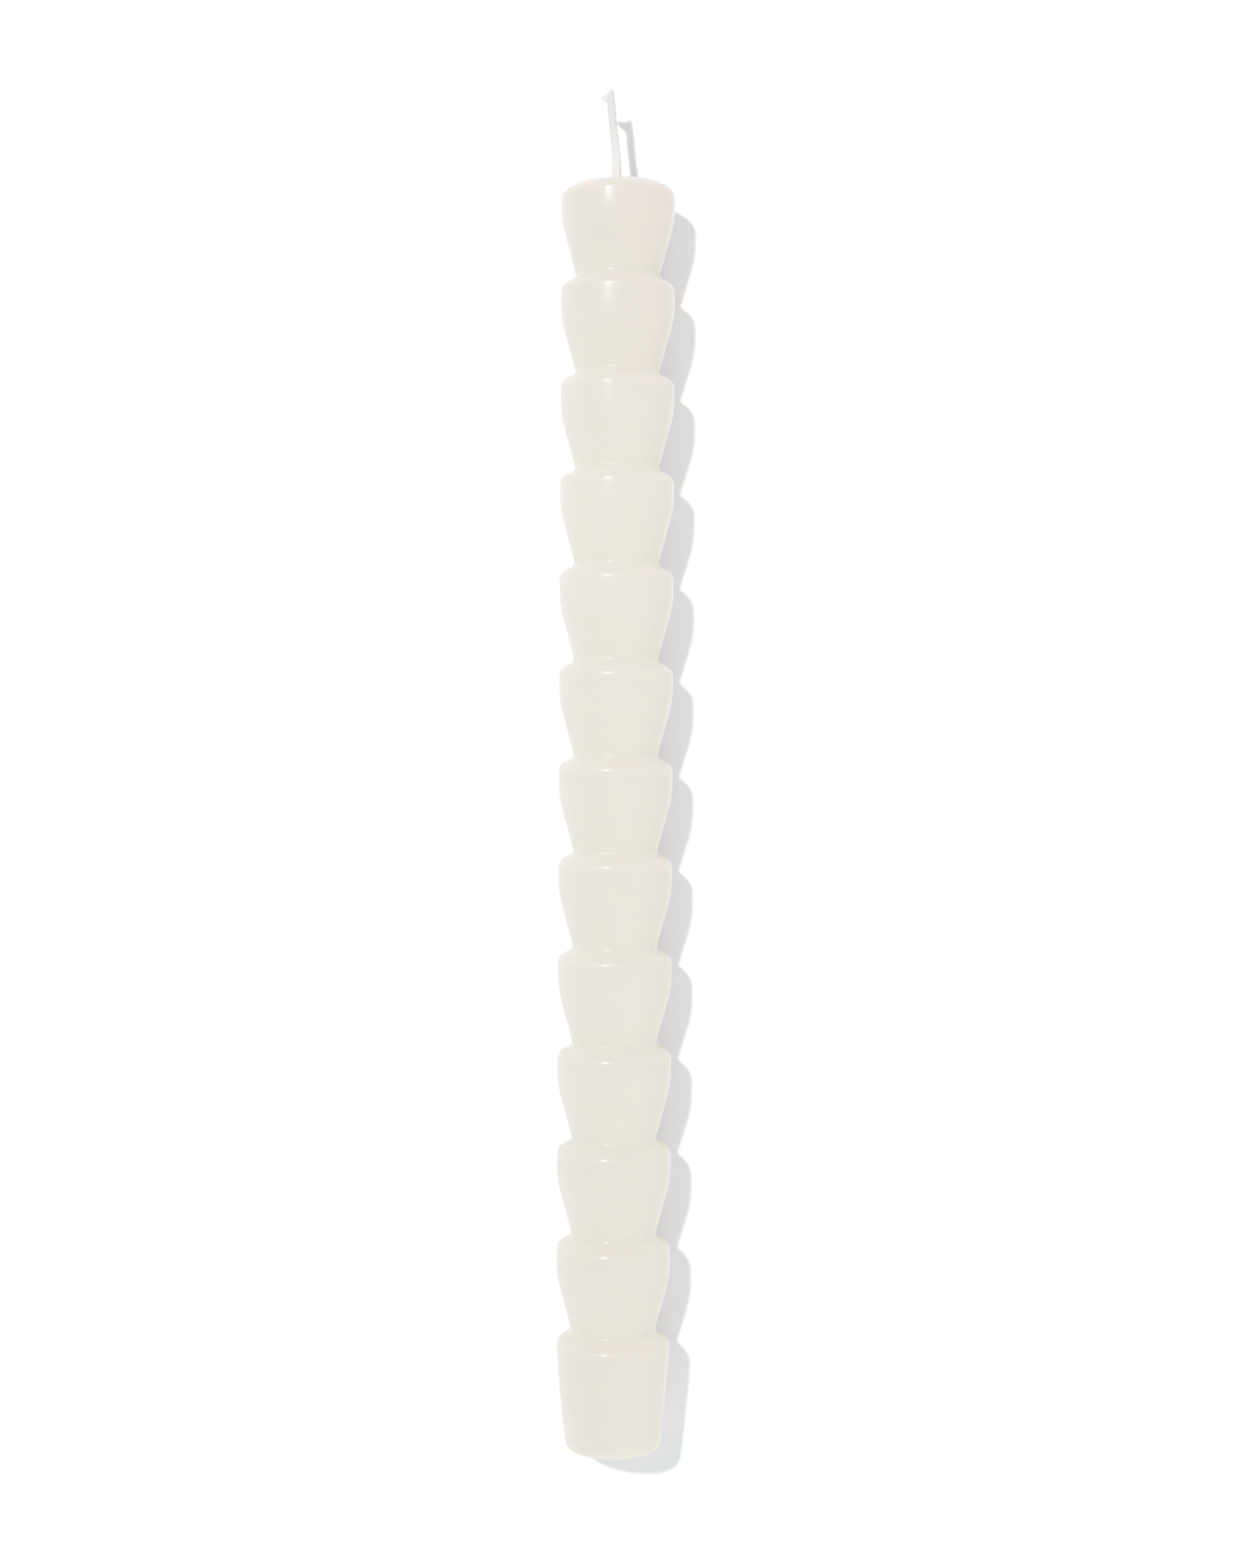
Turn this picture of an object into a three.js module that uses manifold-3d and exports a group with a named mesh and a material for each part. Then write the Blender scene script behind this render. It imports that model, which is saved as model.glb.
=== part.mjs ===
// A tiered taper candle: a cast wax column of twelve flared tiers on a tapered foot, with a wick
// through its whole length and a drop of priming wax, drawn out into a small fin, on the wick's tip.
// Millimetres, +Z up, origin at the centre of the base.

import * as THREE from 'three';
import Module from 'manifold-3d';
import { mergeVertices } from 'three/addons/utils/BufferGeometryUtils.js';

const wasm = await Module();
wasm.setup();

// Tiers. Each one runs down from a narrow neck over a rounded shoulder to a straight band, and
// draws in below the band to the next neck.
const TIER_COUNT = 12;
const TIER_PITCH = 18.5;
const NECK_RADIUS = 8;
const BAND_RADIUS = 11;
const SHOULDER_DROP = 1.5;
const BAND_HEIGHT = 6.25;
const NECK_FILLET = 1.1;
const SHOULDER_ROUNDING = 1.8;
const BELLY_ROUNDING = 16.5;

// Foot, which stands in a holder's cup. It swells slightly between its shoulder and its base.
const FOOT_HEIGHT = 22.6;
const FOOT_RADIUS = 9.05;
const FOOT_SWELL = 0.2;
const FOOT_ROUNDING = 1.55;

// Hollow that the cooling wax leaves round the wick's cut end.
const DIMPLE_RADIUS = 3.2;
const DIMPLE_DEPTH = 0.6;

// Crown of the top tier: a low dome with a softer edge than the other shoulders have, over a band that
// starts CROWN_DROP below the neck that a next tier would have had.
const CROWN_RADIUS = 8.6;
const CROWN_DROP = 2.05;
const CROWN_BAND_HEIGHT = 5.2;
const CROWN_EDGE_HEIGHT = 1.6;
const CROWN_RISE = 0.5;
const CROWN_EDGE_ROUNDING = 4.3;
const CROWN_SHOULDER_ROUNDING = 1.65;

// Wick. Its priming wax is thickest where it leaves the crown, and its free end leans to -X.
const WICK_RADIUS = 0.8;
const WICK_CLEARANCE = 0.3;
const WICK_STAND = 15.5;
const WICK_LEAN = 1.42;
const COLLAR_RADIUS = 1;
const COLLAR_HEIGHT = 7;

// Drop of wax on the wick's tip.
const DROP_HEIGHT = 2.7;
const DROP_TOP_RADIUS = 0.5;

// Fin that the drop drew out to -X: a full belly below and a round tip above it, before rounding.
const FIN_THICKNESS = 0.5;
const FIN_HEIGHT = 2;
const FIN_BELLY_REACH = 0.8;
const FIN_BELLY_HEIGHT = 0.3;
const FIN_BELLY_ROUNDING = 0.9;
const FIN_TIP_REACH = 1.2;
const FIN_TIP_HEIGHT = 1.05;
const FIN_TIP_ROUNDING = 0.35;

// Facets round each piece, and along each stretch or rounding of its outline.
const WAX_SEGMENTS = 40;
const WICK_SEGMENTS = 16;
const WICK_STEPS = 12;
const CROWN_STEPS = 3;
const CROWN_EDGE_STEPS = 2;
const CROWN_SHOULDER_STEPS = 4;
const SHOULDER_STEPS = 3;
const BELLY_STEPS = 2;
const NECK_STEPS = 1;
const FOOT_STEPS = 4;
const FOOT_ROUNDING_STEPS = 4;
const DROP_TOP_STEPS = 4;
const FIN_STEPS = 3;

const TOP_NECK_HEIGHT = FOOT_HEIGHT + TIER_COUNT * TIER_PITCH;
const CROWN_EDGE = TOP_NECK_HEIGHT - CROWN_DROP + CROWN_EDGE_HEIGHT;
const CROWN_HEIGHT = CROWN_EDGE + CROWN_RISE;
const BORE_RADIUS = WICK_RADIUS + WICK_CLEARANCE;
const WICK_TOP = CROWN_HEIGHT + WICK_STAND;

const wax = new THREE.MeshStandardMaterial({ color: 0xe9e4d9, roughness: 0.42, metalness: 0 });
const primedCotton = new THREE.MeshStandardMaterial({ color: 0xd3d0cb, roughness: 0.6, metalness: 0 });
const primingWax = new THREE.MeshStandardMaterial({ color: 0xa9a8a6, roughness: 0.35, metalness: 0 });

const point = (radius, height) => new THREE.Vector2(radius, height);

// An arc takes up no more than this share of the shorter side beside its corner.
const LARGEST_SHARE = 0.48;

// The points of an arc that rounds a corner.
function roundedCorner(before, corner, after, radius, steps) {
  const toBefore = before.clone().sub(corner);
  const toAfter = after.clone().sub(corner);
  const room = LARGEST_SHARE * Math.min(toBefore.length(), toAfter.length());
  toBefore.normalize();
  toAfter.normalize();
  const halfAngle = Math.acos(THREE.MathUtils.clamp(toBefore.dot(toAfter), -1, 1)) / 2;
  const reach = Math.min(radius / Math.tan(halfAngle), room);
  const arcRadius = reach * Math.tan(halfAngle);
  const bisector = toBefore.clone().add(toAfter).normalize();
  const centre = corner.clone().addScaledVector(bisector, arcRadius / Math.sin(halfAngle));
  const start = corner.clone().addScaledVector(toBefore, reach).sub(centre);
  const turn = Math.PI - 2 * halfAngle;
  const direction = Math.sign(toAfter.cross(toBefore));
  const points = [];
  for (let step = 0; step <= steps; step += 1) {
    const angle = (direction * turn * step) / steps;
    points.push(start.clone().rotateAround(new THREE.Vector2(), angle).add(centre));
  }
  return points;
}

// A chain of corners, each with its own rounding. A corner with no rounding stays sharp.
function roundedChain(corners) {
  return corners.flatMap(({ at, rounding, steps }, index) => {
    if (!rounding) return [at];
    return roundedCorner(corners[index - 1].at, at, corners[index + 1].at, rounding, steps);
  });
}

// Outline of the wax from the rim of its bore at the crown down to the rim of its bore in the base.
function waxOutline() {
  const domeHeight = (radius) => CROWN_EDGE + CROWN_RISE * (1 - (radius / CROWN_RADIUS) ** 2);
  const corners = [];
  for (let step = 0; step < CROWN_STEPS; step += 1) {
    const radius = THREE.MathUtils.lerp(BORE_RADIUS, CROWN_RADIUS, step / CROWN_STEPS);
    corners.push({ at: point(radius, domeHeight(radius)) });
  }
  corners.push({
    at: point(CROWN_RADIUS, CROWN_EDGE),
    rounding: CROWN_EDGE_ROUNDING,
    steps: CROWN_EDGE_STEPS,
  });
  for (let tier = TIER_COUNT; tier > 0; tier -= 1) {
    const neck = FOOT_HEIGHT + tier * TIER_PITCH;
    const isTop = tier === TIER_COUNT;
    const rounding = isTop ? CROWN_SHOULDER_ROUNDING : SHOULDER_ROUNDING;
    const steps = isTop ? CROWN_SHOULDER_STEPS : SHOULDER_STEPS;
    const bandTop = neck - (isTop ? CROWN_DROP : SHOULDER_DROP);
    const bandFoot = bandTop - (isTop ? CROWN_BAND_HEIGHT : BAND_HEIGHT);
    if (!isTop) corners.push({ at: point(NECK_RADIUS, neck), rounding: NECK_FILLET, steps: NECK_STEPS });
    corners.push({ at: point(BAND_RADIUS, bandTop), rounding, steps });
    corners.push({ at: point(BAND_RADIUS, bandFoot), rounding: BELLY_ROUNDING, steps: BELLY_STEPS });
  }
  const footTop = FOOT_HEIGHT - SHOULDER_DROP;
  corners.push({ at: point(NECK_RADIUS, FOOT_HEIGHT), rounding: NECK_FILLET, steps: NECK_STEPS });
  corners.push({ at: point(BAND_RADIUS, footTop), rounding: SHOULDER_ROUNDING, steps: SHOULDER_STEPS });
  for (let step = 1; step < FOOT_STEPS; step += 1) {
    const down = step / FOOT_STEPS;
    const swell = FOOT_SWELL * 4 * down * (1 - down);
    const radius = THREE.MathUtils.lerp(BAND_RADIUS, FOOT_RADIUS, down) + swell;
    corners.push({ at: point(radius, footTop * (1 - down)) });
  }
  corners.push({ at: point(FOOT_RADIUS, 0), rounding: FOOT_ROUNDING, steps: FOOT_ROUNDING_STEPS });
  corners.push({ at: point(DIMPLE_RADIUS, 0) });
  corners.push({ at: point(BORE_RADIUS, DIMPLE_DEPTH) });
  return roundedChain(corners);
}

// A solid of revolution about Z. An outline that leaves the axis is closed on itself.
function turned(outline, segments) {
  const geometry = new THREE.LatheGeometry(outline, segments);
  return geometry.rotateX(Math.PI / 2);
}

function waxBody() {
  const outline = waxOutline().reverse();
  return turned([...outline, outline[0].clone()], WAX_SEGMENTS);
}

// Sideways place of the wick's centre line: upright in the wax, then an easy double bend.
function lean(height) {
  return -WICK_LEAN * THREE.MathUtils.smoothstep(height, CROWN_HEIGHT, WICK_TOP + DROP_HEIGHT / 2);
}

// Moves each vertex sideways with the centre line, so that level faces stay level.
function leaned(geometry) {
  const position = geometry.getAttribute('position');
  for (let vertex = 0; vertex < position.count; vertex += 1) {
    position.setX(vertex, position.getX(vertex) + lean(position.getZ(vertex)));
  }
  return geometry;
}

// The primed wick: plain in the wax, with a collar above the crown that dies out up the free end.
function wick() {
  const collarFoot = CROWN_HEIGHT + WICK_CLEARANCE;
  const outline = [
    point(0, DIMPLE_DEPTH),
    point(WICK_RADIUS, DIMPLE_DEPTH),
    point(WICK_RADIUS, CROWN_HEIGHT),
  ];
  for (let step = 0; step <= WICK_STEPS; step += 1) {
    const height = THREE.MathUtils.lerp(collarFoot, WICK_TOP, step / WICK_STEPS);
    const thinned = Math.min(1, (height - collarFoot) / COLLAR_HEIGHT);
    outline.push(point(THREE.MathUtils.lerp(COLLAR_RADIUS, WICK_RADIUS, thinned), height));
  }
  outline.push(point(0, WICK_TOP));
  return leaned(turned(outline, WICK_SEGMENTS));
}

function toManifold(geometry) {
  const bare = geometry.clone();
  bare.deleteAttribute('normal');
  bare.deleteAttribute('uv');
  const merged = mergeVertices(bare, 1e-5);
  const mesh = new wasm.Mesh({
    numProp: 3,
    vertProperties: new Float32Array(merged.getAttribute('position').array),
    triVerts: new Uint32Array(merged.getIndex().array),
  });
  return new wasm.Manifold(mesh);
}

function toGeometry(solid) {
  const mesh = solid.getMesh();
  const geometry = new THREE.BufferGeometry();
  geometry.setAttribute('position', new THREE.BufferAttribute(new Float32Array(mesh.vertProperties), 3));
  geometry.setIndex(new THREE.BufferAttribute(new Uint32Array(mesh.triVerts), 1));
  geometry.computeVertexNormals();
  return geometry;
}

// The fin's face in the XZ plane, measured from the drop's axis at the wick's end.
function finFace() {
  const belly = point(-WICK_RADIUS - FIN_BELLY_REACH, FIN_BELLY_HEIGHT);
  const tip = point(-WICK_RADIUS - FIN_TIP_REACH, FIN_TIP_HEIGHT);
  return new THREE.Shape(roundedChain([
    { at: point(0, FIN_HEIGHT) },
    { at: point(-DROP_TOP_RADIUS, FIN_HEIGHT) },
    { at: tip, rounding: FIN_TIP_ROUNDING, steps: FIN_STEPS },
    { at: belly, rounding: FIN_BELLY_ROUNDING, steps: FIN_STEPS },
    { at: point(-WICK_RADIUS, 0) },
    { at: point(0, 0) },
  ]));
}

// The drop sits on the wick's flat end.
function tipDrop() {
  const roundFoot = WICK_TOP + DROP_HEIGHT - DROP_TOP_RADIUS;
  const outline = [point(0, WICK_TOP), point(WICK_RADIUS, WICK_TOP), point(DROP_TOP_RADIUS, roundFoot)];
  for (let step = 1; step < DROP_TOP_STEPS; step += 1) {
    const angle = (step / DROP_TOP_STEPS) * (Math.PI / 2);
    outline.push(point(DROP_TOP_RADIUS * Math.cos(angle), roundFoot + DROP_TOP_RADIUS * Math.sin(angle)));
  }
  outline.push(point(0, WICK_TOP + DROP_HEIGHT));
  const fin = new THREE.ExtrudeGeometry(finFace(), { depth: FIN_THICKNESS, bevelEnabled: false });
  fin.rotateX(Math.PI / 2).translate(0, FIN_THICKNESS / 2, WICK_TOP);
  const drop = toManifold(turned(outline, WICK_SEGMENTS)).add(toManifold(fin));
  return leaned(toGeometry(drop));
}

const candle = new THREE.Group();

function addPiece(name, geometry, material) {
  const mesh = new THREE.Mesh(geometry, material);
  mesh.name = name;
  candle.add(mesh);
}

addPiece('wax_body', waxBody(), wax);
addPiece('wick', wick(), primedCotton);
addPiece('wick_tip_drop', tipDrop(), primingWax);

export default candle;
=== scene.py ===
import math
import random

import bmesh
import bpy
from mathutils import Matrix, Vector, noise


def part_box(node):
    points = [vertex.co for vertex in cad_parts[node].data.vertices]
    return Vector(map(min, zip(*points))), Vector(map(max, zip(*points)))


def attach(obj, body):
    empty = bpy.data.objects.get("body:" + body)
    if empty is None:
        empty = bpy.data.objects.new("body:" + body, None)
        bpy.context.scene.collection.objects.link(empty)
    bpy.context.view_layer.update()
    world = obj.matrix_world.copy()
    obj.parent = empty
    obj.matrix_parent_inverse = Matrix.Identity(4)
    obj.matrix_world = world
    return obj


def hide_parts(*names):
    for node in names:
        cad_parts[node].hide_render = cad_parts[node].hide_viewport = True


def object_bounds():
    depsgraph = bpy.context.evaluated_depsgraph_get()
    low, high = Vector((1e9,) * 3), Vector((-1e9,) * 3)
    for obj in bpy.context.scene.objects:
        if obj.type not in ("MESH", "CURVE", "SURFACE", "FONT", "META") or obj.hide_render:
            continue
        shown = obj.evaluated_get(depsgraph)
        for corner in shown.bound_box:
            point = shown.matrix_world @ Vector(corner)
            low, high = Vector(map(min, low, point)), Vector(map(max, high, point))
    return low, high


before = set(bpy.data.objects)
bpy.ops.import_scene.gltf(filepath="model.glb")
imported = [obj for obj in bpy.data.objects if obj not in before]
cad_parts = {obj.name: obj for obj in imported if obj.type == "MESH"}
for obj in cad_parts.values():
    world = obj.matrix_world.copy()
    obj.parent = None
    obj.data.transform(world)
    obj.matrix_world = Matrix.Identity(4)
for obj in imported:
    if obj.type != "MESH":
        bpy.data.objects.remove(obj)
cad_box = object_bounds()

# Photograph's view
# The candle lies on a white table and is seen from straight above, a little right of its middle. Here it
# stands up, as in its own frame, so the camera looks along +Y and the table is the wall behind it.
MM = 0.001
PHOTO_WIDTH = 1725
PHOTO_HEIGHT = 2156
PX_PER_MM = 7.109
CAMERA_DISTANCE = 480 * MM
LEVEL_ROW = 975.6
BASE_ROW = 1990.5
AXIS_COLUMN = 846.5
CANDLE_TILT = math.radians(-0.266)
SENSOR_WIDTH = 36.0
NEAREST_SEEN = 10 * MM

level_height = (BASE_ROW - LEVEL_ROW) / PX_PER_MM * MM
sideways = (PHOTO_WIDTH / 2 - AXIS_COLUMN) / PX_PER_MM * MM
camera_data = bpy.data.cameras.new("photo_camera")
camera_data.sensor_width = SENSOR_WIDTH
camera_data.lens = SENSOR_WIDTH * PX_PER_MM * (CAMERA_DISTANCE / MM) / PHOTO_HEIGHT
camera_data.shift_y = (LEVEL_ROW - PHOTO_HEIGHT / 2) / PHOTO_HEIGHT
camera_data.clip_start = NEAREST_SEEN
camera = bpy.data.objects.new("photo_camera", camera_data)
camera.location = (sideways, -CAMERA_DISTANCE, level_height)
camera.rotation_euler = (math.radians(90), CANDLE_TILT, 0)
bpy.context.collection.objects.link(camera)
bpy.context.scene.camera = camera
bpy.context.scene.view_settings.view_transform = "Standard"

# Table
# The matt white surface that the candle lies on, which touches the bands' backs. It only shows from its
# front, so the candle can be looked at from behind too.
TABLE_SIDE = 3.0
TABLE_WHITE = (0.93, 0.93, 0.935, 1)

table_mesh = bpy.data.meshes.new("table")
bm = bmesh.new()
bmesh.ops.create_grid(bm, x_segments=1, y_segments=1, size=TABLE_SIDE / 2)
bmesh.ops.rotate(bm, cent=(0, 0, 0), matrix=Matrix.Rotation(math.radians(90), 3, "X"), verts=bm.verts)
bmesh.ops.translate(bm, vec=(0, cad_box[1][1], level_height), verts=bm.verts)
bm.to_mesh(table_mesh)
bm.free()
table = bpy.data.objects.new("table", table_mesh)
bpy.context.collection.objects.link(table)

table_paint = bpy.data.materials.new("white_table")
table_paint.use_nodes = True
nodes = table_paint.node_tree.nodes
links = table_paint.node_tree.links
nodes.clear()
white = nodes.new("ShaderNodeBsdfDiffuse")
white.inputs["Color"].default_value = TABLE_WHITE
clear = nodes.new("ShaderNodeBsdfTransparent")
side = nodes.new("ShaderNodeNewGeometry")
choose = nodes.new("ShaderNodeMixShader")
surface = nodes.new("ShaderNodeOutputMaterial")
links.new(side.outputs["Backfacing"], choose.inputs["Fac"])
links.new(white.outputs["BSDF"], choose.inputs[1])
links.new(clear.outputs["BSDF"], choose.inputs[2])
links.new(choose.outputs["Shader"], surface.inputs["Surface"])
table_mesh.materials.append(table_paint)

# Light
# A bright white room, dimmer overhead and behind the camera and brighter to the right, and one small lamp
# in front of the table, above and to the left, that throws the shadow to the lower right. The room's
# colour is its level plus a change for each way: rightward, backward and upward.
ROOM_LEVEL = (1.135, 1.07, 1.04)
ROOM_RIGHTWARD = (0.39, 0.345, 0.425)
ROOM_BACKWARD = (0.57, 0.43, 0.39)
ROOM_UPWARD = (-0.45, -0.45, -0.48)
LAMP_DIRECTION = Vector((-0.307, -0.888, 0.343)).normalized()
LAMP_DISTANCE = 2.115
LAMP_SIZE = 0.15
LAMP_POWER = 30.0
LAMP_COLOUR = (1.005, 0.96, 1.19)

world = bpy.data.worlds.new("white_room")
world.use_nodes = True
nodes = world.node_tree.nodes
links = world.node_tree.links
direction = nodes.new("ShaderNodeTexCoord")
ways = nodes.new("ShaderNodeSeparateXYZ")
links.new(direction.outputs["Generated"], ways.inputs["Vector"])
room_light = None
for way, change in (("X", ROOM_RIGHTWARD), ("Y", ROOM_BACKWARD), ("Z", ROOM_UPWARD)):
    tint = nodes.new("ShaderNodeVectorMath")
    tint.operation = "MULTIPLY_ADD"
    tint.inputs[1].default_value = change
    links.new(ways.outputs[way], tint.inputs[0])
    if room_light is None:
        tint.inputs[2].default_value = ROOM_LEVEL
    else:
        links.new(room_light, tint.inputs[2])
    room_light = tint.outputs["Vector"]
links.new(room_light, nodes["Background"].inputs["Color"])
bpy.context.scene.world = world

lamp_data = bpy.data.lights.new("lamp", "AREA")
lamp_data.shape = "DISK"
lamp_data.size = LAMP_SIZE
lamp_data.energy = LAMP_POWER
lamp_data.color = LAMP_COLOUR
lamp = bpy.data.objects.new("lamp", lamp_data)
lamp.location = Vector((0, 0, level_height)) + LAMP_DIRECTION * LAMP_DISTANCE
lamp.rotation_euler = (-LAMP_DIRECTION).to_track_quat("-Z", "Y").to_euler()
bpy.context.collection.objects.link(lamp)

# Wax body
# One casting of ivory candle wax: twelve flared tiers on a tapered foot, turned about the wick. Each
# tier has a rounded shoulder, a straight band and a belly that draws in to the next neck.
TIER_COUNT = 12
TIER_PITCH = 18.5 * MM
NECK_RADIUS = 8.0 * MM
SHOULDER_DROP = 1.5 * MM
BAND_HEIGHT = 6.25 * MM
FOOT_HEIGHT = 22.6 * MM
FOOT_RADIUS = 9.05 * MM
FOOT_SWELL = 0.2 * MM
DIMPLE_RADIUS = 3.2 * MM
DIMPLE_DEPTH = 0.6 * MM
CROWN_RADIUS = 8.6 * MM
CROWN_DROP = 2.05 * MM
CROWN_BAND_HEIGHT = 5.2 * MM
CROWN_EDGE_HEIGHT = 1.6 * MM
CROWN_RISE = 0.5 * MM
BORE_RADIUS = 0.82 * MM
COLLAR_RADIUS = 0.94 * MM
COLLAR_CLIMB = 0.7 * MM
COLLAR_FLARE = 0.9 * MM

# How far back each corner is rounded, and how many steps each rounding or curve is made in.
NECK_SETBACK = 0.92 * MM
SHOULDER_SETBACK = 1.1 * MM
BELLY_SETBACK = 2.28 * MM
CROWN_EDGE_SETBACK = 1.03 * MM
CROWN_SHOULDER_SETBACK = 0.88 * MM
FOOT_SETBACK = 1.4 * MM
DIMPLE_SETBACK = 0.3 * MM
SHOULDER_STEPS = 8
NECK_STEPS = 6
DIMPLE_STEPS = 3
COLLAR_STEPS = 6
DOME_STEPS = 4
FOOT_STEPS = 8
WAX_TURN_STEPS = 128
WAX_STEP = 1.0 * MM
MERGE_DISTANCE = 0.001 * MM

band_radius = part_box("wax_body")[1][0]
crown_neck = FOOT_HEIGHT + TIER_COUNT * TIER_PITCH
crown_edge = crown_neck - CROWN_DROP + CROWN_EDGE_HEIGHT
crown_height = crown_edge + CROWN_RISE


def wax_corners():
    """Radius, height, setback and arc steps of each corner, from the crown's bore to the base's bore."""
    yield BORE_RADIUS, crown_height + COLLAR_CLIMB, 0, 0
    yield COLLAR_RADIUS, crown_height + COLLAR_CLIMB, 0, 0
    for step in range(1, COLLAR_STEPS):
        out = step / COLLAR_STEPS
        yield COLLAR_RADIUS + COLLAR_FLARE * out ** 2, crown_height + COLLAR_CLIMB * (1 - out) ** 2, 0, 0
    for step in range(1, DOME_STEPS):
        out = step / DOME_STEPS
        yield CROWN_RADIUS * out, crown_edge + CROWN_RISE * (1 - out ** 2), 0, 0
    yield CROWN_RADIUS, crown_edge, CROWN_EDGE_SETBACK, NECK_STEPS
    band_top = crown_neck - CROWN_DROP
    yield band_radius, band_top, CROWN_SHOULDER_SETBACK, SHOULDER_STEPS
    yield band_radius, band_top - CROWN_BAND_HEIGHT, BELLY_SETBACK, NECK_STEPS
    for tier in range(TIER_COUNT - 1, -1, -1):
        neck = FOOT_HEIGHT + tier * TIER_PITCH
        band_top = neck - SHOULDER_DROP
        yield NECK_RADIUS, neck, NECK_SETBACK, NECK_STEPS
        yield band_radius, band_top, SHOULDER_SETBACK, SHOULDER_STEPS
        if tier > 0:
            yield band_radius, band_top - BAND_HEIGHT, BELLY_SETBACK, NECK_STEPS
    foot_top = FOOT_HEIGHT - SHOULDER_DROP
    for step in range(1, FOOT_STEPS):
        down = step / FOOT_STEPS
        swell = FOOT_SWELL * 4 * down * (1 - down)
        yield band_radius + (FOOT_RADIUS - band_radius) * down + swell, foot_top * (1 - down), 0, 0
    yield FOOT_RADIUS, 0, FOOT_SETBACK, SHOULDER_STEPS
    yield DIMPLE_RADIUS, 0, DIMPLE_SETBACK, DIMPLE_STEPS
    yield BORE_RADIUS, DIMPLE_DEPTH, 0, 0


def chained(bm, corners):
    """Joins the corners into one line of edges in the XZ plane, with an arc at each that has a setback."""
    rounded = []
    last = None
    for radius, height, setback, steps in corners:
        vert = bm.verts.new((radius, 0, height))
        if last:
            bm.edges.new((last, vert))
        last = vert
        if setback:
            rounded.append((vert, setback, steps))
    for vert, setback, steps in rounded:
        bmesh.ops.bevel(
            bm, geom=[vert], offset=setback, segments=steps, affect="VERTICES", profile=0.5, material=-1,
        )


def divided(bm, step):
    """Cuts each edge that is longer than two steps into pieces of about one step."""
    for edge in [edge for edge in bm.edges if edge.calc_length() > 2 * step]:
        bmesh.ops.subdivide_edges(bm, edges=[edge], cuts=int(edge.calc_length() / step))


def turned(bm, steps):
    """Spins the line right round the Z axis and closes it at its poles."""
    line = list(bm.verts) + list(bm.edges)
    bmesh.ops.spin(
        bm, geom=line, cent=(0, 0, 0), axis=(0, 0, 1), dvec=(0, 0, 0), angle=math.tau, steps=steps,
        use_merge=True,
    )
    bmesh.ops.remove_doubles(bm, verts=bm.verts, dist=MERGE_DISTANCE)
    bmesh.ops.recalc_face_normals(bm, faces=bm.faces)


def pieced(bm, name, node, material):
    """Makes the finished bmesh a smooth-shaded piece on the root body that stands for a CAD node."""
    for face in bm.faces:
        face.smooth = True
    mesh = bpy.data.meshes.new(name)
    bm.to_mesh(mesh)
    bm.free()
    mesh.materials.append(material)
    piece = bpy.data.objects.new(name, mesh)
    bpy.context.collection.objects.link(piece)
    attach(piece, "root")
    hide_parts(node)
    return piece


def eased(value, start, stop):
    """A share from 0 at start to 1 at stop that leaves and arrives level."""
    share = min(max((value - start) / (stop - start), 0), 1)
    return share * share * (3 - 2 * share)


# The line runs from the crown's bore over the outside to the base's bore. The edge between its two ends
# is the bore's wall.
bm = bmesh.new()
chained(bm, wax_corners())
divided(bm, WAX_STEP)
bm.edges.new([vert for vert in bm.verts if len(vert.link_edges) == 1])
turned(bm, WAX_TURN_STEPS)

# Handling marks in the wax: small pits, dashes and scratches, each pressed into a patch of finer faces.
# Each has its height, its bearing from the front towards +X, its length, width, depth, slant and dirt, in
# millimetres and degrees. The seen ones are those that the photograph shows, and the stray ones are at
# random on the sides and the back.
SEEN_MARKS = (
    (96.72, 62.2, 0.4, 0.36, 0.16, 0, 1.0),
    (74.99, 61.5, 0.38, 0.34, 0.16, 0, 0.9),
    (91.21, -13.3, 0.85, 0.26, 0.08, 0, 0.45),
    (113.19, 7.7, 0.6, 0.3, 0.07, 35, 0.0),
    (112.6, 9.1, 1.1, 0.3, 0.08, 105, 0.0),
    (38.03, 47.8, 1.3, 0.34, 0.08, 110, 0.15),
    (37.07, 51.7, 0.9, 0.3, 0.06, 100, 0.0),
    (35.72, 50.6, 1.5, 0.3, 0.05, 95, 0.0),
    (33.16, 52.1, 1.2, 0.3, 0.08, 100, 0.15),
    (32.38, 57.6, 0.8, 0.3, 0.06, 100, 0.0),
    (21.9, 57.5, 0.9, 0.7, 0.12, 0, 0.05),
    (20.5, 59.0, 0.6, 0.6, 0.1, 0, 0.05),
)
STRAY_MARKS = 26
STRAY_SEED = 7
STRAY_HEIGHTS = (2, 240)
STRAY_BEARINGS = (70, 290)
STRAY_DEPTHS = (0.05, 0.1)
STRAY_SLANTS = (-90, 90)
STRAY_LENGTHS = (0.4, 0.5, 1.2, 2.0)
LONGEST_PIT = 1
PIT_WIDTH_SHARE = 0.9
PIT_DIRTS = (0.0, 0.0, 0.3, 0.9)
SCRATCH_WIDTH = 0.3
PATCH_MARGIN = 0.5 * MM
PATCH_CUTS = 4

mark_layer = bm.verts.layers.float.new("mark")


def stray_marks():
    """Marks at random places on the sides and the back, which are the same ones in each run."""
    draws = random.Random(STRAY_SEED)
    for _ in range(STRAY_MARKS):
        height = draws.uniform(*STRAY_HEIGHTS)
        bearing = draws.uniform(*STRAY_BEARINGS)
        length = draws.choice(STRAY_LENGTHS)
        is_pit = length < LONGEST_PIT
        width = length * PIT_WIDTH_SHARE if is_pit else SCRATCH_WIDTH
        depth = draws.uniform(*STRAY_DEPTHS)
        slant = draws.uniform(*STRAY_SLANTS)
        dirt = draws.choice(PIT_DIRTS) if is_pit else 0.0
        yield height, bearing, length, width, depth, slant, dirt


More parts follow.
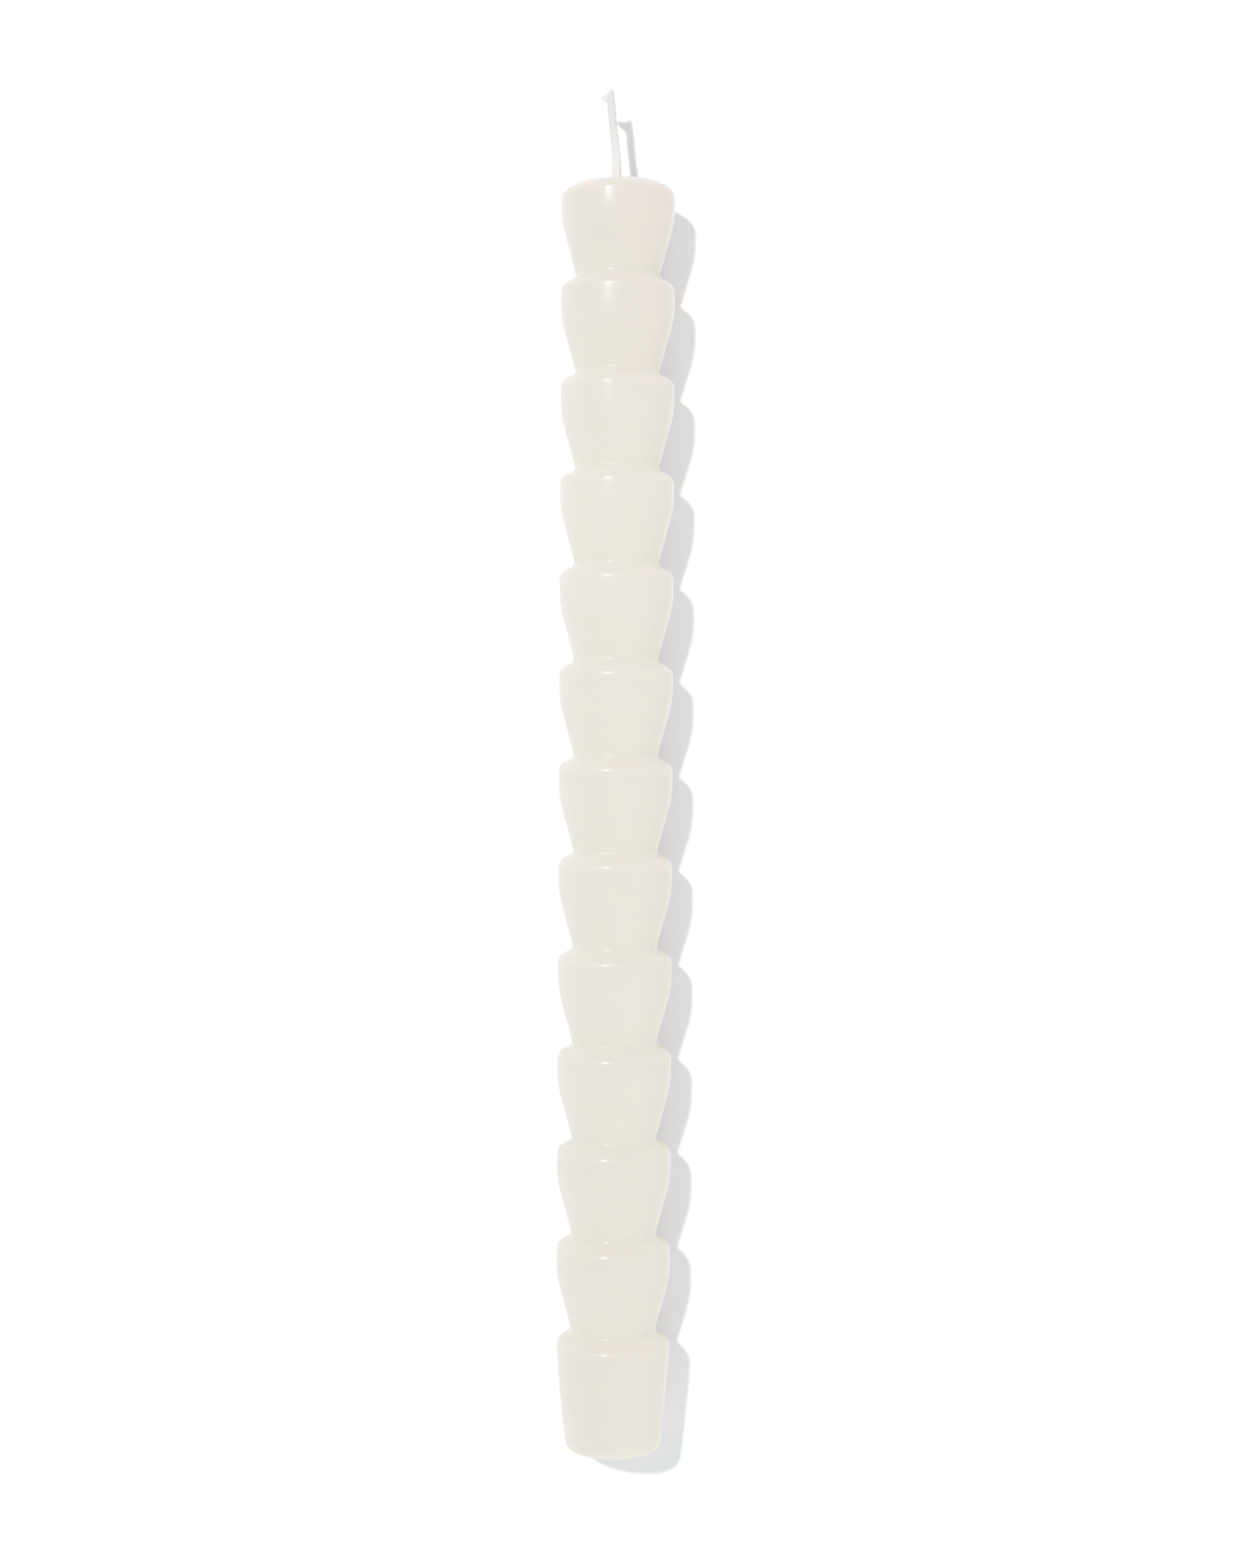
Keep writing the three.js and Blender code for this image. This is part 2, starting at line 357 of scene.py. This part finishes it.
def press_mark(bm, height, bearing, length, width, depth, slant, dirt):
    """Sinks one oval mark into the surface nearest to its height and bearing."""
    outward = Vector((math.sin(bearing), -math.cos(bearing), 0))
    across = Vector((math.cos(bearing), math.sin(bearing), 0))
    along = across * math.cos(slant) + Vector((0, 0, 1)) * math.sin(slant)
    aside = Vector((0, 0, 1)) * math.cos(slant) - across * math.sin(slant)
    reach_along = length / 2 + PATCH_MARGIN
    reach_aside = width / 2 + PATCH_MARGIN
    least_out = NECK_RADIUS / 2

    def offsets(point):
        offset = point - Vector((0, 0, height))
        return offset.dot(along), offset.dot(aside), offset.dot(outward)

    edges = set()
    for face in bm.faces:
        if abs(face.verts[0].co.z - height) >= reach_along + WAX_STEP:
            continue
        face_along, face_aside, face_out = offsets(face.calc_center_median())
        if face_out > least_out and abs(face_along) < reach_along and abs(face_aside) < reach_aside:
            edges.update(face.edges)
    bmesh.ops.subdivide_edges(bm, edges=list(edges), cuts=PATCH_CUTS, use_grid_fill=True)
    for vert in bm.verts:
        if abs(vert.co.z - height) > reach_along:
            continue
        vert_along, vert_aside, vert_out = offsets(vert.co)
        span = math.hypot(vert_along / (length / 2), vert_aside / (width / 2))
        if vert_out >= least_out and span < 1:
            sink = 1 - eased(span, 0, 1)
            vert.co -= outward * depth * sink
            vert[mark_layer] = max(vert[mark_layer], sink * dirt)


for height, bearing, length, width, depth, slant, dirt in (*SEEN_MARKS, *stray_marks()):
    press_mark(
        bm, height * MM, math.radians(bearing), length * MM, width * MM, depth * MM,
        math.radians(slant), dirt,
    )

# Where patches meet, faces with more than four corners are left. They are cut into triangles here, so
# that none of them folds over in the finished mesh.
many_sided = [face for face in bm.faces if len(face.verts) > 4]
bmesh.ops.triangulate(bm, faces=many_sided, quad_method="BEAUTY", ngon_method="BEAUTY")

# The casting isn't quite even: it is drawn in by a few hundredths of a millimetre here and there, its
# crown is a little higher on the right, and its bore leans with the wick, which stands a little to the
# left and back of the middle of the crown.
UNEVEN_DEPTH = 0.03 * MM
UNEVEN_SIZE = 9.0 * MM
CROWN_TILT = 0.0245
TILT_ONSET = 2 * MM
WICK_OFFSET = Vector((-0.285, 0.45, 0)) * MM

tilt_foot = crown_edge - CROWN_EDGE_HEIGHT - TILT_ONSET
collar_rim = COLLAR_RADIUS + COLLAR_FLARE


def mottled(point):
    """A smoothly changing share from 0 to 1, whose patches are about one unit across."""
    return 0.5 + 0.5 * noise.noise(point)


for vert in bm.verts:
    vert.co.z += CROWN_TILT * vert.co.x * eased(vert.co.z, tilt_foot, crown_edge)
    radius = math.hypot(vert.co.x, vert.co.y)
    if radius > collar_rim:
        share = mottled(vert.co / UNEVEN_SIZE)
        vert.co.x *= 1 - UNEVEN_DEPTH * share / radius
        vert.co.y *= 1 - UNEVEN_DEPTH * share / radius
    near = 1 - eased(radius, collar_rim, CROWN_RADIUS)
    vert.co += WICK_OFFSET * (near * vert.co.z / crown_height)

# The wax is ivory, a little darker and warmer towards the crown, and painted paler at the necks: painted
# light that cancels the shade in the neck creases. Light goes about a millimetre into it, its gloss is
# uneven, and handling has burnished it thinly. Each span says where in a texture's range the change starts
# and stops.
WAX_IOR = 1.44
WAX_SHINE = 0.2
WAX_GLOW = 1.0
WAX_GLOW_COLOUR = (1.0, 0.85, 0.6)
WAX_GLOW_REACH = 1.2 * MM
BURNISH = 0.09
BURNISH_ROUGHNESS = 0.16
WAX_IVORY = (0.651, 0.625, 0.53)
WAX_COOL = (0.645, 0.631, 0.535)
WAX_CROWN = (0.632, 0.601, 0.512)
WAX_DIRT = (0.05, 0.035, 0.02)
CROWN_REACH = 60 * MM
# Painted light: near the necks the wax colour is lifted paler, to cancel the shade in the neck creases.
NECK_PAINTED_LIGHT_LIFT = (1.084, 1.089, 1.058)
NECK_PAINTED_LIGHT = ((-0.9, 0.75), (-0.4, 1), (0.4, 1), (1, 0.72), (2, 0.4), (4, 0.18), (7, 0))
IVORY_SIZE = 16 * MM
IVORY_SPAN = (0.35, 0.65)
DIRT_SPAN = (0.2, 0.7)
GLOSS_SIZE = 5 * MM
GLOSS_SPAN = (0.3, 0.7)
WAX_ROUGHNESS = (0.29, 0.36)
GRAIN_SIZE = 0.5 * MM
GRAIN_STRENGTH = 0.12
GRAIN_HEIGHT = 0.02 * MM


def waxy(name, shine, glow, glow_colour, glow_reach):
    """Begins a waxy material: its shine, and how much, in what colour and how far light glows in it."""
    material = bpy.data.materials.new(name)
    material.use_nodes = True
    nodes = material.node_tree.nodes
    shader = nodes["Principled BSDF"]
    shader.inputs["IOR"].default_value = WAX_IOR
    shader.inputs["Specular IOR Level"].default_value = shine
    shader.inputs["Subsurface Weight"].default_value = glow
    shader.inputs["Subsurface Radius"].default_value = glow_colour
    shader.inputs["Subsurface Scale"].default_value = glow_reach
    return material, nodes, material.node_tree.links, shader, nodes.new("ShaderNodeTexCoord")


# The helpers from here on add to the material that was begun last.
def coordinate(axis):
    """How far along the X, Y or Z axis a point of the piece is."""
    apart = nodes.new("ShaderNodeSeparateXYZ")
    links.new(place.outputs["Object"], apart.inputs["Vector"])
    return apart.outputs[axis]


def cloud(size, detail, where=None):
    """A soft noise over the piece with features of about this size."""
    clouds = nodes.new("ShaderNodeTexNoise")
    clouds.inputs["Scale"].default_value = 1 / size
    clouds.inputs["Detail"].default_value = detail
    links.new(place.outputs["Object"] if where is None else where, clouds.inputs["Vector"])
    return clouds.outputs["Fac"]


def ramped(value, span, result=(0, 1)):
    """Takes a value from its span over to the result's, and holds it there."""
    ramp = nodes.new("ShaderNodeMapRange")
    ramp.inputs["From Min"].default_value = span[0]
    ramp.inputs["From Max"].default_value = span[1]
    ramp.inputs["To Min"].default_value = result[0]
    ramp.inputs["To Max"].default_value = result[1]
    links.new(value, ramp.inputs["Value"])
    return ramp.outputs["Result"]


def blended(share, first, second):
    """Mixes two colours, each a socket or a plain colour."""
    mix = nodes.new("ShaderNodeMix")
    mix.data_type = "RGBA"
    links.new(share, mix.inputs[0])
    for socket, colour in ((mix.inputs[6], first), (mix.inputs[7], second)):
        if isinstance(colour, tuple):
            socket.default_value = (*colour, 1)
        else:
            links.new(colour, socket)
    return mix.outputs[2]


def grained(height, strength, distance):
    """Gives the material's surface a fine relief."""
    bump = nodes.new("ShaderNodeBump")
    bump.inputs["Strength"].default_value = strength
    bump.inputs["Distance"].default_value = distance
    links.new(height, bump.inputs["Height"])
    links.new(bump.outputs["Normal"], shader.inputs["Normal"])


wax, nodes, links, shader, place = waxy("ivory_wax", WAX_SHINE, WAX_GLOW, WAX_GLOW_COLOUR, WAX_GLOW_REACH)
shader.inputs["Coat Weight"].default_value = BURNISH
shader.inputs["Coat Roughness"].default_value = BURNISH_ROUGHNESS
tone = blended(ramped(cloud(IVORY_SIZE, detail=2), IVORY_SPAN), WAX_IVORY, WAX_COOL)
up = coordinate("Z")
tone = blended(ramped(up, (crown_height - CROWN_REACH, crown_height)), tone, WAX_CROWN)

# Each tier counts from 0 at the top of one band to 1 at the top of the next. The painted light along it,
# which lightens the neck creases against their shade, is given at heights over the neck in millimetres, and
# starts from the ramp's own first stop, which is black.
tiers_up = ramped(up, (FOOT_HEIGHT - SHOULDER_DROP, crown_neck - SHOULDER_DROP), (0, TIER_COUNT))
up_tier = nodes.new("ShaderNodeMath")
up_tier.operation = "FRACT"
links.new(tiers_up, up_tier.inputs[0])
neck_painted_light = nodes.new("ShaderNodeValToRGB")
stops = neck_painted_light.color_ramp.elements
for height, share in NECK_PAINTED_LIGHT:
    stop = stops.new((height * MM + SHOULDER_DROP) / TIER_PITCH)
    stop.color = (share, share, share, 1)
stops.remove(stops[-1])
links.new(up_tier.outputs["Value"], neck_painted_light.inputs["Fac"])
# Painted light: the lifted colour that lightens the neck creases against their shade.
painted_light_lift = nodes.new("ShaderNodeVectorMath")
painted_light_lift.operation = "MULTIPLY"
painted_light_lift.inputs[1].default_value = NECK_PAINTED_LIGHT_LIFT
links.new(tone, painted_light_lift.inputs[0])
tone = blended(neck_painted_light.outputs["Color"], tone, painted_light_lift.outputs["Vector"])

marks = nodes.new("ShaderNodeAttribute")
marks.attribute_name = "mark"
tone = blended(ramped(marks.outputs["Fac"], DIRT_SPAN), tone, WAX_DIRT)
links.new(tone, shader.inputs["Base Color"])
links.new(ramped(cloud(GLOSS_SIZE, detail=3), GLOSS_SPAN, WAX_ROUGHNESS), shader.inputs["Roughness"])
grained(cloud(GRAIN_SIZE, detail=4), GRAIN_STRENGTH, GRAIN_HEIGHT)
pieced(bm, "wax_casting", "wax_body", wax)

# Wick
# One braided cotton wick through the whole candle, soaked with priming wax. Its cut end shows in the
# base's dimple, and its free end, where the wax hides most of the braid, bows over to the left.
WICK_RADIUS = 0.8 * MM
COATED_RADIUS = 0.835 * MM
WAIST_DEPTH = 0.03 * MM
WAIST_ABOVE = 10.4 * MM
WAIST_SPREAD = 2.6 * MM
THINNING_START = 2.2 * MM
THINNING_STOP = 6.8 * MM
TIP_TAPER = 0.11 * MM
TIP_LENGTH = 0.5 * MM
BOW = Vector((-1.15, 0.1, 0)) * MM
BOW_START = 2.2 * MM
BOW_STOP = 17.2 * MM
LIP_HALF_HEIGHT = 0.02 * MM
WICK_TURN_STEPS = 32
WICK_STEP = 0.24 * MM
SAME_WITHIN = 0.01 * MM

# The braid has four strands that wind each way, and its coat of wax starts at the collar's top.
STRANDS = 4
LAY = 6.0 * MM
OVERLAP = 0.25
STRAND_FLATNESS = 0.7
STRAND_DEPTH = 0.1 * MM
COATED_STRAND_DEPTH = 0.025 * MM
COAT_ONSET = 0.3 * MM
FIBRE_DEPTH = 0.012 * MM
FIBRE_WIDTH = 0.12 * MM
FIBRE_STRETCH = 4
END_DEPTH = 0.05 * MM
END_GRAIN = 0.15 * MM

wick_low, wick_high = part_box("wick")
wick_foot = wick_low[2]
wick_end = wick_high[2]
collar_top = crown_height + COLLAR_CLIMB


def wick_place(height):
    """How far from the candle's axis, and which way, the wick's middle is at a height."""
    above = height - crown_height
    return WICK_OFFSET * min(height / crown_height, 1) + BOW * eased(above, BOW_START, BOW_STOP)


def wick_girth(height):
    """The wick's radius over its coat at a height."""
    above = height - crown_height
    coat = COLLAR_RADIUS if above > COLLAR_CLIMB - SAME_WITHIN else WICK_RADIUS
    waist = WAIST_DEPTH * math.exp(-((above - WAIST_ABOVE) / WAIST_SPREAD) ** 2)
    taper = TIP_TAPER * eased(height, wick_end - TIP_LENGTH, wick_end)
    return coat + (COATED_RADIUS - coat) * eased(above, THINNING_START, THINNING_STOP) - waist - taper


def braid(bearing, height):
    """Height of the braid's strands over the lowest gap between them, from 0 to 1."""
    turn = math.tau * height / LAY
    over = OVERLAP * math.cos(STRANDS * bearing)
    right = abs(math.cos(STRANDS / 2 * (bearing + turn))) ** STRAND_FLATNESS * (1 - OVERLAP + over)
    left = abs(math.cos(STRANDS / 2 * (bearing - turn))) ** STRAND_FLATNESS * (1 - OVERLAP - over)
    return max(right, left)


bm = bmesh.new()
chained(bm, (
    (0, wick_foot, 0, 0),
    (WICK_RADIUS, wick_foot, 0, 0),
    (WICK_RADIUS, collar_top - LIP_HALF_HEIGHT, 0, 0),
    (COLLAR_RADIUS, collar_top + LIP_HALF_HEIGHT, 0, 0),
    (COLLAR_RADIUS, wick_end, 0, 0),
    (0, wick_end, 0, 0),
))
divided(bm, WICK_STEP)
turned(bm, WICK_TURN_STEPS)
for vert in bm.verts:
    height = vert.co.z
    radius = math.hypot(vert.co.x, vert.co.y)
    bearing = math.atan2(vert.co.y, vert.co.x)
    if radius > WICK_RADIUS - SAME_WITHIN:
        coated = eased(height, collar_top, collar_top + COAT_ONSET)
        depth = STRAND_DEPTH + (COATED_STRAND_DEPTH - STRAND_DEPTH) * coated
        stretched = Vector((vert.co.x, vert.co.y, height / FIBRE_STRETCH))
        fibre = FIBRE_DEPTH * mottled(stretched / FIBRE_WIDTH)
        girth = wick_girth(height) - depth * (1 - braid(bearing, height)) - fibre
        vert.co.x *= girth / radius
        vert.co.y *= girth / radius
    elif height < wick_foot + END_DEPTH:
        vert.co.z += END_DEPTH * mottled(vert.co / END_GRAIN)
    vert.co += wick_place(height)

# The primed cotton is paler at its foot, where the priming wax is thicker, and greyer above, with traces of
# violet and ochre, and its fibres run along it. Part of the foot's paleness is painted light that offsets
# the shade near the crown.
COTTON_SHINE = 0.2
COTTON_GLOW = 0.25
COTTON_GLOW_REACH = 0.3 * MM
EVEN_COLOUR = (1.0, 1.0, 1.0)
COTTON_GREY = (0.6, 0.612, 0.54)
COTTON_VIOLET = (0.605, 0.6, 0.548)
COTTON_OCHRE = (0.61, 0.595, 0.5)
# Paler colour for the wick's foot: partly its thicker wax, partly painted light against the shade near the
# crown.
COAT_PALE_AND_PAINTED_LIGHT = (0.7, 0.69, 0.615)
VIOLET_SIZE = 4 * MM
VIOLET_SPAN = (0.4, 0.62)
OCHRE_SIZE = 2.6 * MM
OCHRE_SPAN = (0.52, 0.72)
OCHRE_SHARE = (0, 0.8)
PALE_FOOT = 3 * MM
PALE_HEAD = 11 * MM
SHEEN_SIZE = 1.2 * MM
SHEEN_SPAN = (0.3, 0.7)
COTTON_ROUGHNESS = (0.45, 0.6)
FIBRE_SIZE = 0.1 * MM
FIBRE_SCALE = (1, 1, 0.2)
FIBRE_STRENGTH = 0.5
FIBRE_HEIGHT = 0.02 * MM

cotton, nodes, links, shader, place = waxy(
    "primed_cotton", COTTON_SHINE, COTTON_GLOW, EVEN_COLOUR, COTTON_GLOW_REACH,
)
tone = blended(ramped(cloud(VIOLET_SIZE, detail=2), VIOLET_SPAN), COTTON_GREY, COTTON_VIOLET)
tone = blended(ramped(cloud(OCHRE_SIZE, detail=2), OCHRE_SPAN, OCHRE_SHARE), tone, COTTON_OCHRE)
# Painted light in part: the wick is painted paler towards its foot, for its thicker wax and to offset the
# shade near the crown.
paling_and_painted_light = ramped(coordinate("Z"), (crown_height + PALE_FOOT, crown_height + PALE_HEAD), (1, 0))
tone = blended(paling_and_painted_light, tone, COAT_PALE_AND_PAINTED_LIGHT)
links.new(tone, shader.inputs["Base Color"])
links.new(ramped(cloud(SHEEN_SIZE, detail=3), SHEEN_SPAN, COTTON_ROUGHNESS), shader.inputs["Roughness"])
lengthwise = nodes.new("ShaderNodeMapping")
lengthwise.inputs["Scale"].default_value = FIBRE_SCALE
links.new(place.outputs["Object"], lengthwise.inputs["Vector"])
grained(cloud(FIBRE_SIZE, detail=3, where=lengthwise.outputs["Vector"]), FIBRE_STRENGTH, FIBRE_HEIGHT)
pieced(bm, "braided_wick", "wick", cotton)

# Tip drop
# The bead of priming wax that set on the wick's tip when it was dipped, grey from the fibre ends in it,
# with the thin fin that it drew out to the left and back, towards the table. It is shaped from a cage of
# eight sides that is then smoothed, and its sizes are in millimetres, with heights over its foot.
DROP_SIDES = 8
CAGE_SPREAD = 1.1
DROP_RINGS = (
    (-0.7, 0.79), (0, 0.765), (0.5, 0.69), (1.1, 0.62), (1.64, 0.57), (2.1, 0.54), (2.5, 0.42), (2.68, 0.2),
)
DROP_SMOOTHING = 3

# The fin grows from the cage's side in two rows. Each has its reach from the middle, the share of the
# width that it keeps, and the heights of its lower and upper edge.
FIN_FOOT = 0
FIN_HEAD = 2.1
FIN_WAY = Vector((-1, 1, 0)).normalized()
FIN_SIDE = Vector((1, 1, 0)).normalized()
FIN_FACING = 0.9
FIN_ROWS = ((1.75, 0.9, 0.35, 1.95), (2.85, 0.7, 1.35, 1.7))

drop_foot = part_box("wick_tip_drop")[0][2]
drop_middle = wick_place(drop_foot)

bm = bmesh.new()
bmesh.ops.create_circle(bm, cap_ends=False, segments=DROP_SIDES, radius=MM)
half_side = Matrix.Rotation(math.pi / DROP_SIDES, 3, "Z")
bmesh.ops.rotate(bm, verts=bm.verts, cent=(0, 0, 0), matrix=half_side)
ring = list(bm.verts)
for height, radius in DROP_RINGS:
    if (height, radius) != DROP_RINGS[0]:
        edges = [edge for edge in bm.edges if all(vert in ring for vert in edge.verts)]
        made = bmesh.ops.extrude_edge_only(bm, edges=edges)["geom"]
        ring = [item for item in made if isinstance(item, bmesh.types.BMVert)]
    for vert in ring:
        flat = Vector((vert.co.x, vert.co.y)).normalized() * radius * CAGE_SPREAD
        vert.co = Vector((flat.x, flat.y, height)) * MM
bmesh.ops.holes_fill(bm, edges=bm.edges, sides=DROP_SIDES)
bmesh.ops.recalc_face_normals(bm, faces=bm.faces)
fin = [
    face for face in bm.faces
    if face.normal.dot(FIN_WAY) > FIN_FACING and FIN_FOOT * MM < face.calc_center_median().z < FIN_HEAD * MM
]
for reach, width_share, foot, head in FIN_ROWS:
    low = min(vert.co.z for face in fin for vert in face.verts)
    high = max(vert.co.z for face in fin for vert in face.verts)
    made = bmesh.ops.extrude_face_region(bm, geom=fin)["geom"]
    bmesh.ops.delete(bm, geom=fin, context="FACES")
    fin = [item for item in made if isinstance(item, bmesh.types.BMFace)]
    for vert in [item for item in made if isinstance(item, bmesh.types.BMVert)]:
        share = (vert.co.z - low) / (high - low)
        vert.co = FIN_WAY * reach * MM + FIN_SIDE * vert.co.dot(FIN_SIDE) * width_share
        vert.co.z = (foot + (head - foot) * share) * MM
bmesh.ops.recalc_face_normals(bm, faces=bm.faces)
bmesh.ops.translate(bm, verts=bm.verts, vec=drop_middle + Vector((0, 0, drop_foot)))

BEAD_SHINE = 0.3
BEAD_GLOW = 0.05
BEAD_GLOW_REACH = 0.2 * MM
BEAD_GREY = (0.61, 0.612, 0.555)
BEAD_DARK = (0.53, 0.535, 0.49)
FIN_GREY = (0.64, 0.64, 0.58)
SPECK_SIZE = 0.7 * MM
SPECK_SPAN = (0.35, 0.7)
BEAD_REACH = 0.35 * MM
FIN_REACH = 0.95 * MM
BEAD_GLOSS_SIZE = 0.6 * MM
BEAD_GLOSS_SPAN = (0.3, 0.7)
BEAD_ROUGHNESS = (0.32, 0.45)

priming_wax, nodes, links, shader, place = waxy(
    "priming_wax", BEAD_SHINE, BEAD_GLOW, EVEN_COLOUR, BEAD_GLOW_REACH,
)
leftward = ramped(coordinate("X"), (drop_middle.x - BEAD_REACH, drop_middle.x - FIN_REACH))
tone = blended(ramped(cloud(SPECK_SIZE, detail=2), SPECK_SPAN), BEAD_GREY, BEAD_DARK)
tone = blended(leftward, tone, FIN_GREY)
links.new(tone, shader.inputs["Base Color"])
bead_gloss = ramped(cloud(BEAD_GLOSS_SIZE, detail=2), BEAD_GLOSS_SPAN, BEAD_ROUGHNESS)
links.new(bead_gloss, shader.inputs["Roughness"])
drop = pieced(bm, "priming_wax_drop", "wick_tip_drop", priming_wax)
smoothing = drop.modifiers.new("smoothing", "SUBSURF")
smoothing.levels = DROP_SMOOTHING
smoothing.render_levels = DROP_SMOOTHING
